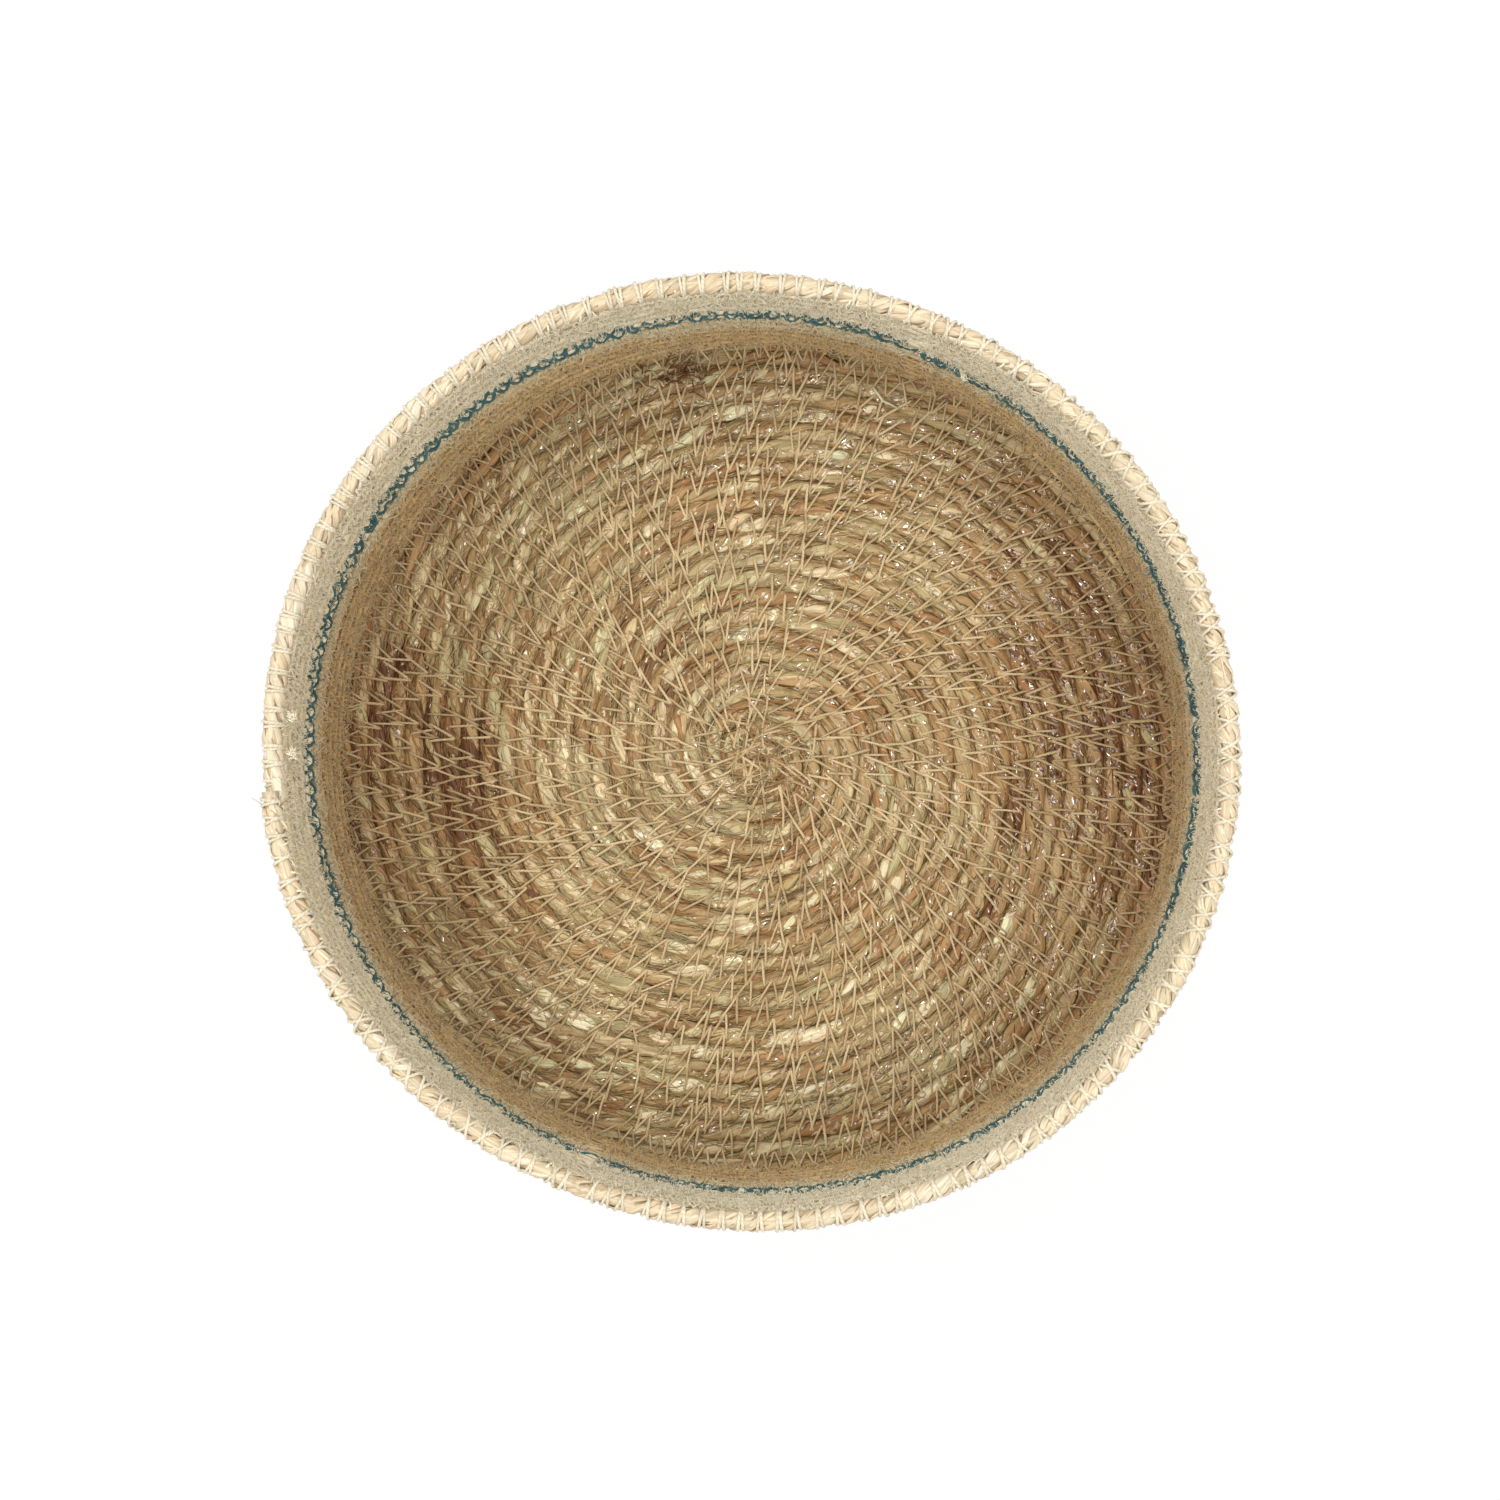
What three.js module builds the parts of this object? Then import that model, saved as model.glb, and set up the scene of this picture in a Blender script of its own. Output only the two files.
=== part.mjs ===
// Coiled seagrass basket. One rope is laid as a flat spiral for the base and winds on up the wall.
// Each turn is sewn to the turn before it, and a straw rope forms the rim.
// Millimetres, +Z up, with the origin at the middle of the underside.
import * as THREE from "three";

// Ropes
const ROPE_DIAMETER = 5.85;
const RIM_ROPE_DIAMETER = 6.6;
const TURN_GAP = 0.55;
const END_GAP = 0.3;

// Shape of the basket, measured at the middle of the rope and counted in turns. The mouth is longer
// than it is wide by MOUTH_OVAL.
const BASE_TURNS = 21.25;
const LOWER_WALL_TURNS = 6.25;
const UPPER_WALL_TURNS = 7.67;
const RIM_TURNS = 1;
const CORNER_RADIUS = 6.5;
const WALL_FLARE = THREE.MathUtils.degToRad(3);
const MOUTH_OVAL = 10.4;
const LONG_AXIS = THREE.MathUtils.degToRad(-22);

// The rope's first length lies straight, and the base is wound round it
const START_TURN = 0.5;
const START_STRAIGHT = ROPE_DIAMETER;
const CORE_LENGTH = 4;

// Sewing threads, which lie in the grooves between the turns on the inside
const THREAD_DIAMETER = 1;
const THREAD_CLEARANCE = 0.3;
const FIRST_SEAM_TURN = 1;
const TURNS_BELOW_BLUE = 2;
const BLUE_TURNS = 2;
const STITCH_LENGTH = 6;
const STITCH_WIDTH = 6;
const OVERCAST_END_MARGIN = 4;

// Facets
const STEPS_PER_TURN = 24;
const ROPE_SIDES = 5;
const RIM_SIDES = 8;
const THREAD_SIDES = 3;

const ropeRadius = ROPE_DIAMETER / 2;
const rimRadius = RIM_ROPE_DIAMETER / 2;
const threadRadius = THREAD_DIAMETER / 2;
const pitch = ROPE_DIAMETER + TURN_GAP;
const rimRaise = rimRadius - ropeRadius;

// A whole number of facet steps, given in turns
function wholeSteps(turns) {
  return Math.round(turns * STEPS_PER_TURN) / STEPS_PER_TURN;
}

// Turn counts, from the middle of the base, at which one rope ends and the next begins
const baseEnd = wholeSteps(BASE_TURNS);
const lowerWallEnd = wholeSteps(BASE_TURNS + LOWER_WALL_TURNS);
const upperWallEnd = wholeSteps(BASE_TURNS + LOWER_WALL_TURNS + UPPER_WALL_TURNS);
const rimEnd = wholeSteps(BASE_TURNS + LOWER_WALL_TURNS + UPPER_WALL_TURNS + RIM_TURNS);

// The corner advances so much per turn that the straight distance between its turns is one pitch
const cornerAdvance = 2 * CORNER_RADIUS * Math.asin(pitch / (2 * CORNER_RADIUS));
const cornerAngle = Math.PI / 2 - WALL_FLARE;
const cornerEnd = baseEnd + (cornerAngle * CORNER_RADIUS) / cornerAdvance;

// Height of the base rope's middle above its flat underside
const flatSide = Math.cos(Math.PI / ROPE_SIDES);
const baseHeight = ropeRadius * flatSide;

// Middle of the rope in the upright half plane: [radius, height] after so many turns
function profile(turns) {
  if (turns <= baseEnd) {
    return [pitch * turns, baseHeight];
  }
  const bend = Math.min(((turns - baseEnd) * cornerAdvance) / CORNER_RADIUS, cornerAngle);
  const climbed = Math.max(turns - cornerEnd, 0) * pitch + (turns > upperWallEnd ? rimRaise : 0);
  return [
    pitch * baseEnd + CORNER_RADIUS * Math.sin(bend) + climbed * Math.sin(WALL_FLARE),
    baseHeight + CORNER_RADIUS * (1 - Math.cos(bend)) + climbed * Math.cos(WALL_FLARE),
  ];
}

function radiusAt(turns) {
  return turns > upperWallEnd ? rimRadius : ropeRadius;
}

// Direction from one turn to the next, and the direction square to it, towards the inside
function leanOf(from, to) {
  const length = Math.hypot(to[0] - from[0], to[1] - from[1]);
  const along = [(to[0] - from[0]) / length, (to[1] - from[1]) / length];
  return { length, along, inward: [-along[1], along[0]] };
}

function ropeAt(turns) {
  const middle = profile(turns);
  return { middle, ...leanOf(profile(turns - 1), middle) };
}

// Middle of the seam thread in the groove between a turn and the turn after it
function seamAt(turns) {
  const from = profile(turns);
  const { length, along, inward } = leanOf(from, profile(turns + 1));
  const nearLower = radiusAt(turns) + THREAD_CLEARANCE + threadRadius;
  const nearUpper = radiusAt(turns + 1) + THREAD_CLEARANCE + threadRadius;
  const up = (nearLower ** 2 - nearUpper ** 2 + length ** 2) / (2 * length);
  const out = Math.sqrt(nearLower ** 2 - up ** 2);
  const middle = [
    from[0] + up * along[0] + out * inward[0],
    from[1] + up * along[1] + out * inward[1],
  ];
  return { middle, along, inward };
}

// Seen from above the rope runs clockwise, starting square to the long axis
function directionAt(turns) {
  return LONG_AXIS + 1.5 * Math.PI - 2 * Math.PI * turns;
}

// How far a turn reaches from the middle in its own direction: round, drawn out by the straight
// start, and growing oval towards the mouth
function reach(turns, place) {
  const fromLongAxis = directionAt(turns) - LONG_AXIS;
  const raised = THREE.MathUtils.clamp((turns - cornerEnd) / (rimEnd - cornerEnd), 0, 1);
  const drawnOut = (CORE_LENGTH / 2) * Math.abs(Math.cos(fromLongAxis));
  const oval = ((MOUTH_OVAL - CORE_LENGTH) / 4) * raised * Math.cos(2 * fromLongAxis);
  return place(turns).middle[0] + drawnOut + oval;
}

// A place on a winding: its middle, its outward direction, its course and its section's axes.
// Turns that reach evenly further lie evenly apart when the middle is shifted along the course.
const SLOPE_TURN = 1e-4;

function stationAt(turns, place) {
  const angle = directionAt(turns);
  const outward = new THREE.Vector3(Math.cos(angle), Math.sin(angle), 0);
  const course = new THREE.Vector3(Math.sin(angle), -Math.cos(angle), 0);
  const rise = reach(turns + SLOPE_TURN, place) - reach(turns - SLOPE_TURN, place);
  const slope = rise / (4 * Math.PI * SLOPE_TURN);
  const { middle, along, inward } = place(turns);
  const centre = outward.clone().multiplyScalar(reach(turns, place));
  centre.addScaledVector(course, slope);
  centre.z = middle[1];
  return {
    centre,
    course,
    alongWall: new THREE.Vector3(0, 0, along[1]).addScaledVector(outward, along[0]),
    inward: new THREE.Vector3(0, 0, inward[1]).addScaledVector(outward, inward[0]),
  };
}

// Facet corners lie half a step off the whole steps, so that a rope ends in the middle of a straight
function cornersBetween(start, end) {
  const first = Math.ceil(start * STEPS_PER_TURN - 0.5);
  const last = Math.floor(end * STEPS_PER_TURN - 0.5);
  return Array.from({ length: last - first + 1 }, (_, i) => (first + i + 0.5) / STEPS_PER_TURN);
}

// A point between two facet corners, on the straight that joins them
function onStraight(turns, place) {
  const step = turns * STEPS_PER_TURN - 0.5;
  const before = stationAt((Math.floor(step) + 0.5) / STEPS_PER_TURN, place);
  const after = stationAt((Math.floor(step) + 1.5) / STEPS_PER_TURN, place);
  const part = step - Math.floor(step);
  const station = {};
  for (const key of ["centre", "course", "alongWall", "inward"]) {
    station[key] = before[key].clone().lerp(after[key], part);
  }
  return station;
}

function shifted(station, distance) {
  const centre = station.centre.clone().addScaledVector(station.course, distance);
  return { ...station, centre };
}

// All stations of one rope or thread, with half the end gap left at each end
function winding(start, end, place) {
  const corners = cornersBetween(start, end).map((turns) => stationAt(turns, place));
  const first = shifted(onStraight(start, place), END_GAP / 2);
  const last = shifted(onStraight(end, place), -END_GAP / 2);
  return [first, ...corners, last];
}

// The base rope begins with a straight length in the middle
function baseWinding() {
  const corners = cornersBetween(START_TURN, baseEnd).map((turns) => stationAt(turns, ropeAt));
  const bendStart = stationAt(START_TURN + 2 * SLOPE_TURN, ropeAt);
  const last = shifted(onStraight(baseEnd, ropeAt), -END_GAP / 2);
  return [shifted(bendStart, -START_STRAIGHT), bendStart, ...corners, last];
}

// Section with one flat side away from the inside
function ringAt(station, radius, sides) {
  return Array.from({ length: sides }, (_, i) => {
    const angle = Math.PI / sides - Math.PI / 2 + (2 * Math.PI * i) / sides;
    return station.centre
      .clone()
      .addScaledVector(station.alongWall, radius * Math.cos(angle))
      .addScaledVector(station.inward, radius * Math.sin(angle));
  });
}

// One closed tube through rings of equal counts, with flat ends
function tubeThrough(rings) {
  const sides = rings[0].length;
  const indices = [];
  for (let k = 0; k + 1 < rings.length; k++) {
    for (let i = 0; i < sides; i++) {
      const here = k * sides + i;
      const beside = k * sides + ((i + 1) % sides);
      indices.push(here, beside, beside + sides);
      indices.push(here, beside + sides, here + sides);
    }
  }
  const lastRing = (rings.length - 1) * sides;
  for (let i = 1; i + 1 < sides; i++) {
    indices.push(0, i + 1, i);
    indices.push(lastRing, lastRing + i, lastRing + i + 1);
  }
  const positions = rings.flat().flatMap((point) => point.toArray());
  const geometry = new THREE.BufferGeometry();
  geometry.setAttribute("position", new THREE.Float32BufferAttribute(positions, 3));
  geometry.setIndex(indices);
  geometry.computeVertexNormals();
  return geometry;
}

function namedMesh(name, geometry, colour, roughness) {
  const material = new THREE.MeshStandardMaterial({ color: colour, roughness, metalness: 0 });
  const mesh = new THREE.Mesh(geometry, material);
  mesh.name = name;
  return mesh;
}

// Least gap between two turns of one rope, from points on its surface to the round rope's other turns
const POINTS_PER_STRAIGHT = 4;

function leastGap(stations, radius, sides) {
  const points = [];
  const surface = [];
  for (let k = 0; k + 1 < stations.length; k++) {
    const here = ringAt(stations[k], radius, sides);
    const next = ringAt(stations[k + 1], radius, sides);
    for (let i = 0; i < POINTS_PER_STRAIGHT; i++) {
      const part = i / POINTS_PER_STRAIGHT;
      points.push(stations[k].centre.clone().lerp(stations[k + 1].centre, part));
      surface.push(here.map((corner, j) => corner.clone().lerp(next[j], part)));
    }
  }
  const halfTurn = (POINTS_PER_STRAIGHT * STEPS_PER_TURN) / 2;
  let least = Infinity;
  for (let k = 0; k < points.length; k++) {
    for (let i = k + halfTurn; i < points.length; i++) {
      const lengths = surface[k].map((corner) => corner.distanceTo(points[i]));
      least = Math.min(least, ...lengths);
    }
  }
  return least - radius;
}

const SEAGRASS_ROUGHNESS = 0.75;
const THREAD_ROUGHNESS = 0.85;

function ropeMesh(name, stations, diameter, sides, colour) {
  const radius = diameter / 2;
  const gap = leastGap(stations, radius, sides);
  console.log(`${name}: least gap between turns ${gap.toFixed(2)} mm`);
  const rings = stations.map((station) => ringAt(station, radius, sides));
  return namedMesh(name, tubeThrough(rings), colour, SEAGRASS_ROUGHNESS);
}

function seamMesh(name, start, end, colour) {
  const stations = winding(start, end, seamAt);
  const rings = stations.map((station) => ringAt(station, threadRadius, THREAD_SIDES));
  return namedMesh(name, tubeThrough(rings), colour, THREAD_ROUGHNESS);
}

// The rim is overcast by a thread that zigzags over its top, from the inner side to the outer
function overcastMesh(name, colour) {
  const [mouthRadius] = profile(rimEnd);
  const roundMouth = 2 * Math.PI * mouthRadius;
  const margin = OVERCAST_END_MARGIN / roundMouth;
  const start = upperWallEnd + margin;
  const stitches = Math.round((2 * roundMouth * (rimEnd - margin - start)) / STITCH_LENGTH);
  const overTop = rimRadius + THREAD_CLEARANCE + threadRadius;
  const rings = Array.from({ length: stitches + 1 }, (_, i) => {
    const station = onStraight(start + ((rimEnd - margin - start) * i) / stitches, ropeAt);
    const side = i % 2 === 0 ? STITCH_WIDTH / 2 : -STITCH_WIDTH / 2;
    station.centre.addScaledVector(station.alongWall, overTop).addScaledVector(station.inward, side);
    return ringAt(station, threadRadius, THREAD_SIDES);
  });
  return namedMesh(name, tubeThrough(rings), colour, THREAD_ROUGHNESS);
}

// Seams run in one line from the middle of the base to the rim, and change thread at these turns
const baseSeamEnd = baseEnd - 1;
const lowerSeamEnd = lowerWallEnd - 1;
const blueStart = wholeSteps(lowerSeamEnd + TURNS_BELOW_BLUE);
const blueEnd = wholeSteps(blueStart + BLUE_TURNS);

const SEAGRASS = 0xa9885c;
const PALE_SEAGRASS = 0xc4b692;
const STRAW = 0xefd6aa;
const TAN_THREAD = 0xcbb583;
const CREAM_THREAD = 0xd9cfb4;
const BLUE_THREAD = 0x2f5a7d;
const WHITE_THREAD = 0xf3efe6;

const lowerWall = winding(baseEnd, lowerWallEnd, ropeAt);
const upperWall = winding(lowerWallEnd, upperWallEnd, ropeAt);
const rim = winding(upperWallEnd, rimEnd, ropeAt);

const basket = new THREE.Group();
basket.add(
  ropeMesh("base_coil", baseWinding(), ROPE_DIAMETER, ROPE_SIDES, SEAGRASS),
  ropeMesh("lower_wall_coil", lowerWall, ROPE_DIAMETER, ROPE_SIDES, SEAGRASS),
  ropeMesh("upper_wall_coil", upperWall, ROPE_DIAMETER, ROPE_SIDES, PALE_SEAGRASS),
  ropeMesh("rim_coil", rim, RIM_ROPE_DIAMETER, RIM_SIDES, STRAW),
  seamMesh("base_seam_thread", FIRST_SEAM_TURN, baseSeamEnd, TAN_THREAD),
  seamMesh("lower_wall_seam_thread", baseSeamEnd, lowerSeamEnd, TAN_THREAD),
  seamMesh("middle_seam_thread", lowerSeamEnd, blueStart, CREAM_THREAD),
  seamMesh("blue_seam_thread", blueStart, blueEnd, BLUE_THREAD),
  seamMesh("upper_seam_thread", blueEnd, upperWallEnd, CREAM_THREAD),
  overcastMesh("rim_overcast_thread", WHITE_THREAD),
);

// The origin is the middle of the underside
const box = new THREE.Box3().setFromObject(basket, true);
const middle = box.getCenter(new THREE.Vector3());
basket.position.set(-middle.x, -middle.y, -box.min.z);

export default basket;
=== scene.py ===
# Coiled seagrass basket: ropes of leaf strips, zigzag sewing, a straw rim and loose fibres.
# Metres, +Z up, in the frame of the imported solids.
import math
from dataclasses import dataclass
from math import pi, radians

import bpy
import numpy as np
from mathutils import Matrix, Vector


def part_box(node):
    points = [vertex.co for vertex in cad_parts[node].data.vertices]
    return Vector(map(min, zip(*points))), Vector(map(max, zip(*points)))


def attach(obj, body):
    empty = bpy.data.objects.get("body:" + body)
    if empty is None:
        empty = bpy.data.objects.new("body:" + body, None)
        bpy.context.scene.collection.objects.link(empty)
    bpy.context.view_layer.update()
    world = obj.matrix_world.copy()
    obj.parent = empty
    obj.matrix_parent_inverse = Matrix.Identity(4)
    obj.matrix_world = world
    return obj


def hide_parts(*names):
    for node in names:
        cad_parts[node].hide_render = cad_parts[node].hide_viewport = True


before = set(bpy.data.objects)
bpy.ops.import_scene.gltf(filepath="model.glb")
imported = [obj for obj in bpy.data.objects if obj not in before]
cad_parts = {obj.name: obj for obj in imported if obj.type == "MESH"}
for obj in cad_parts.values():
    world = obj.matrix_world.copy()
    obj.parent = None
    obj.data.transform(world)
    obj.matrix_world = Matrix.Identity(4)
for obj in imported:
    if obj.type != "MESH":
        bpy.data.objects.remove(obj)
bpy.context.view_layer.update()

MM = 0.001
FULL_TURN = 2 * pi
UP = np.array([0.0, 0.0, 1.0])

# Winding of the ropes, as in the solids: sizes, and turns counted from the middle of the base
ROPE_RADIUS = 2.925 * MM
RIM_ROPE_RADIUS = 3.3 * MM
PITCH = 6.4 * MM
BASE_END = 21.25
LOWER_WALL_END = 27.5
UPPER_WALL_END = 35 + 1 / 6
RIM_END = UPPER_WALL_END + 1
CORNER_RADIUS = 6.5 * MM
WALL_FLARE = radians(3)
MOUTH_OVAL = 10.4 * MM
LONG_AXIS = radians(-22)
CORE_LENGTH = 4 * MM
BASE_HEIGHT = ROPE_RADIUS * math.cos(pi / 5)
RIM_RAISE = RIM_ROPE_RADIUS - ROPE_RADIUS

CORNER_ADVANCE = 2 * CORNER_RADIUS * math.asin(PITCH / (2 * CORNER_RADIUS))
CORNER_ANGLE = pi / 2 - WALL_FLARE
CORNER_END = BASE_END + CORNER_ANGLE * CORNER_RADIUS / CORNER_ADVANCE

# Seams lie between a turn and the turn after it, and change thread at these turns
FIRST_SEAM = 0.2
BASE_SEAM_END = BASE_END - 1
LOWER_SEAM_END = LOWER_WALL_END - 1
BLUE_START = LOWER_SEAM_END + 2
BLUE_END = BLUE_START + 2


def unit(vectors):
    return vectors / np.linalg.norm(vectors, axis=-1, keepdims=True)


def circle(count):
    return FULL_TURN * np.arange(count) / count


def square_to(vectors, rng):
    """A chance direction square to each vector."""
    return unit(np.cross(vectors, rng.normal(0, 1, vectors.shape)))


def smooth_step(part):
    part = np.clip(part, 0, 1)
    return part * part * (3 - 2 * part)


def profile(turns):
    """Radius and height of the rope's middle in the upright half plane."""
    bend = np.clip((turns - BASE_END) * CORNER_ADVANCE / CORNER_RADIUS, 0, CORNER_ANGLE)
    climbed = np.maximum(turns - CORNER_END, 0) * PITCH
    climbed = climbed + np.where(turns > UPPER_WALL_END, RIM_RAISE, 0)
    radius = PITCH * np.minimum(turns, BASE_END) + CORNER_RADIUS * np.sin(bend)
    height = BASE_HEIGHT + CORNER_RADIUS * (1 - np.cos(bend))
    return radius + climbed * math.sin(WALL_FLARE), height + climbed * math.cos(WALL_FLARE)


def direction(turns):
    """Seen from above the rope runs clockwise, starting square to the long axis."""
    return LONG_AXIS + 1.5 * pi - FULL_TURN * turns


def by_direction(turns, degrees, values):
    """A value that changes with the direction from the middle."""
    return np.interp(np.degrees(direction(turns)) % 360, degrees, values)


def reach(turns):
    """How far a turn reaches from the middle in its own direction."""
    from_long_axis = direction(turns) - LONG_AXIS
    raised = np.clip((turns - CORNER_END) / (RIM_END - CORNER_END), 0, 1)
    drawn_out = CORE_LENGTH / 2 * abs(np.cos(from_long_axis))
    oval = (MOUTH_OVAL - CORE_LENGTH) / 4 * raised * np.cos(2 * from_long_axis)
    return profile(turns)[0] + drawn_out + oval


# Slopes are read over twice this part of a turn
SLOPE_TURN = 1e-4


def stations(turns):
    """Middle of the rope, its course, and its section's axes along the wall and towards the inside."""
    turns = np.asarray(turns, float)
    angle = direction(turns)
    zero = np.zeros_like(angle)
    outward = np.stack([np.cos(angle), np.sin(angle), zero], -1)
    course = np.stack([np.sin(angle), -np.cos(angle), zero], -1)
    slope = (reach(turns + SLOPE_TURN) - reach(turns - SLOPE_TURN)) / (2 * FULL_TURN * SLOPE_TURN)
    radius, height = profile(turns)
    radius_before, height_before = profile(turns - 1)
    lean = unit(np.stack([radius - radius_before, height - height_before], -1))
    middle = outward * reach(turns)[..., None] + course * slope[..., None]
    middle[..., 2] = height
    along = outward * lean[..., :1]
    along[..., 2] = lean[..., 1]
    inward = -outward * lean[..., 1:]
    inward[..., 2] = lean[..., 0]
    return middle + origin_shift, course, along, inward


# The solids' origin is the middle of their box, which the rim fills
RIM_SAMPLES = 720
origin_shift = np.zeros(3)
rim_path = stations(np.linspace(UPPER_WALL_END + SLOPE_TURN, RIM_END, RIM_SAMPLES))[0]
rim_low, rim_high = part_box("rim_coil")
origin_shift[:2] = np.array((rim_low + rim_high) / 2)[:2] - (rim_path.min(0) + rim_path.max(0))[:2] / 2


class Winding:
    """A stretch of rope that can be read by its length from the start."""

    SAMPLES_PER_TURN = 360

    def __init__(self, start, end):
        count = int((end - start) * self.SAMPLES_PER_TURN)
        self.turns = np.linspace(start + SLOPE_TURN, end, count)
        self.parts = stations(self.turns)
        steps = np.linalg.norm(np.diff(self.parts[0], axis=0), axis=1)
        self.lengths = np.append(0, np.cumsum(steps))
        self.total = self.lengths[-1]

    def at(self, lengths):
        def read(part):
            return np.stack([np.interp(lengths, self.lengths, part[:, i]) for i in range(3)], -1)

        middle, course, along, inward = [read(part) for part in self.parts]
        return middle, unit(course), unit(along), unit(inward)

    def turns_at(self, lengths):
        return np.interp(lengths, self.lengths, self.turns)


class TubeBundle:
    """Closed tubes gathered into one mesh. Each tube has a tone and a seed of its own for its material,
    a map of its fibres in millimetres, and a place of its own on the bake map."""

    MAP_MARGIN = 0.3 * MM

    def __init__(self):
        self.groups = []

    def add(self, rings, tone, seed):
        """Adds tubes given as rings of points: (tubes, rings, sides, 3)."""
        self.groups.append((rings, np.asarray(tone, float), np.asarray(seed, float)))

    def places(self, lengths, girths):
        """Lower corner of each tube's rectangle on the map, in rows, and the side of the whole map."""
        margin = self.MAP_MARGIN
        row_length = math.sqrt(np.sum((lengths + 4 * margin) * (girths + margin)))
        corners = np.zeros((len(lengths), 2))
        x, y, row_height = 0.0, 0.0, 0.0
        for tube in np.argsort(-girths, kind="stable"):
            if x + lengths[tube] > row_length:
                x, y, row_height = 0.0, y + row_height + margin, 0.0
            row_height = max(row_height, girths[tube])
            corners[tube] = x + 2 * margin, y
            x += lengths[tube] + 4 * margin
        longest = lengths.max() + 4 * margin
        return corners, max(row_length + longest, y + row_height + margin)

    def build(self, name, material, flat=False):
        points, tones, seeds, loops, starts, fibre, bake = [], [], [], [], [], [], []
        measures = [self.measure(rings) for rings, _, _ in self.groups]
        corners, side = self.places(
            np.concatenate([lengths[:, -1] for lengths, _ in measures]),
            np.concatenate([girths for _, girths in measures]),
        )
        first_point, first_loop, first_tube = 0, 0, 0
        for (rings, tone, seed), (lengths, girths) in zip(self.groups, measures):
            tubes, count, sides, _ = rings.shape
            points.append(rings.reshape(-1, 3))
            tones.append(np.repeat(tone, count * sides))
            seeds.append(np.repeat(seed, count * sides))
            corner = corners[first_tube:first_tube + tubes]
            quads, around, along, ends = self.wrap(lengths, girths, tubes, count, sides)
            on_map = np.stack([corner[:, None, 0] + along, corner[:, None, 1] + around], -1)
            on_map[..., 0] += ends
            fibre.append(np.stack([around, along], -1).reshape(-1, 2) / MM)
            bake.append(on_map.reshape(-1, 2) / side)
            loops.append((quads + first_point).ravel())
            per_tube = np.append(np.full((count - 1) * sides, 4), [sides, sides])
            lengths_of_faces = np.tile(per_tube, tubes)
            starts.append(first_loop + np.append(0, np.cumsum(lengths_of_faces)[:-1]))
            first_point += tubes * count * sides
            first_loop += lengths_of_faces.sum()
            first_tube += tubes
        piece = mesh_piece(name, material, points, loops, starts, tones, seeds, fibre, bake)
        if flat:
            piece.data.shade_flat()
        return piece

    @staticmethod
    def measure(rings):
        """Length along each tube at its rings, and its widest girth."""
        steps = np.linalg.norm(np.diff(rings.mean(2), axis=1), axis=-1)
        lengths = np.pad(np.cumsum(steps, axis=1), ((0, 0), (1, 0)))
        edges = np.linalg.norm(rings - np.roll(rings, -1, axis=2), axis=-1)
        return lengths, edges.sum(-1).max(-1)

    def wrap(self, lengths, girths, tubes, count, sides):
        """Corners of each tube's faces in turn, the two ends last, with their places round and along it."""
        ring, step = np.meshgrid(np.arange(count - 1), np.arange(sides), indexing="ij")
        ring = np.stack([ring, ring, ring + 1, ring + 1], -1).reshape(-1)
        step = np.stack([step, step + 1, step + 1, step], -1).reshape(-1)
        end_steps = np.arange(sides)
        bulge = np.sin(pi * end_steps / (sides - 1)) * self.MAP_MARGIN
        ends = np.concatenate([np.zeros(len(ring)), -bulge[::-1], bulge])
        ring = np.concatenate([ring, np.zeros(sides, int), np.full(sides, count - 1)])
        step = np.concatenate([step, end_steps[::-1], end_steps])
        corners = ring * sides + step % sides
        quads = corners + np.arange(tubes)[:, None] * count * sides
        around = girths[:, None] * step / sides
        return quads, around, lengths[:, ring], ends


def mesh_piece(name, material, points, loops, starts, tones, seeds, fibre, bake):
    mesh = bpy.data.meshes.new(name)
    points, loops, starts = np.concatenate(points), np.concatenate(loops), np.concatenate(starts)
    mesh.vertices.add(len(points))
    mesh.vertices.foreach_set("co", points.ravel())
    mesh.loops.add(len(loops))
    mesh.loops.foreach_set("vertex_index", loops)
    mesh.polygons.add(len(starts))
    mesh.polygons.foreach_set("loop_start", starts)
    mesh.update(calc_edges=True)
    mesh.shade_smooth()
    for map_name, places in (("Fibre", fibre), ("OFBake", bake)):
        layer = mesh.uv_layers.new(name=map_name)
        layer.uv.foreach_set("vector", np.concatenate(places).ravel())
    for value_name, values in (("tone", tones), ("seed", seeds)):
        attribute = mesh.attributes.new(value_name, "FLOAT", "POINT")
        attribute.data.foreach_set("value", np.concatenate(values))
    mesh.materials.append(material)
    piece = bpy.data.objects.new(name, mesh)
    bpy.context.scene.collection.objects.link(piece)
    return piece


def round_tubes(points, radii, up, sides):
    """Rings of round tubes along lines of points (tubes, rings, 3)."""
    course = unit(np.gradient(points, axis=1))
    side = unit(np.cross(up, course))
    top = np.cross(course, side)
    angle = circle(sides)
    spokes = side[:, :, None] * np.cos(angle)[:, None] + top[:, :, None] * np.sin(angle)[:, None]
    return points[:, :, None] + spokes * radii[..., None, None]


# Angles round a rope's section
INSIDE = radians(90)
OUTSIDE = radians(-90)

# The plain core of a rope, and how close a rope comes to the surface that the basket stands on
CORE_SIDES = 6
CORE_RINGS = 12
CORE_TONE = 0.4
CORE_DEPTH = 0.35 * MM
CORE_WIDTH = 0.9 * MM
CORE_EDGE_POWER = 8
GROUND_CLEARANCE = 0.45 * MM
GROUND_SOFTNESS = 0.3 * MM


def above_ground(points, clearance=GROUND_CLEARANCE):
    """Presses points flat where they would come close to the surface that the basket stands on."""
    height = points[..., 2] - clearance
    pressed = points.copy()
    pressed[..., 2] = clearance + (height + np.sqrt(height**2 + GROUND_SOFTNESS**2)) / 2
    return pressed


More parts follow.
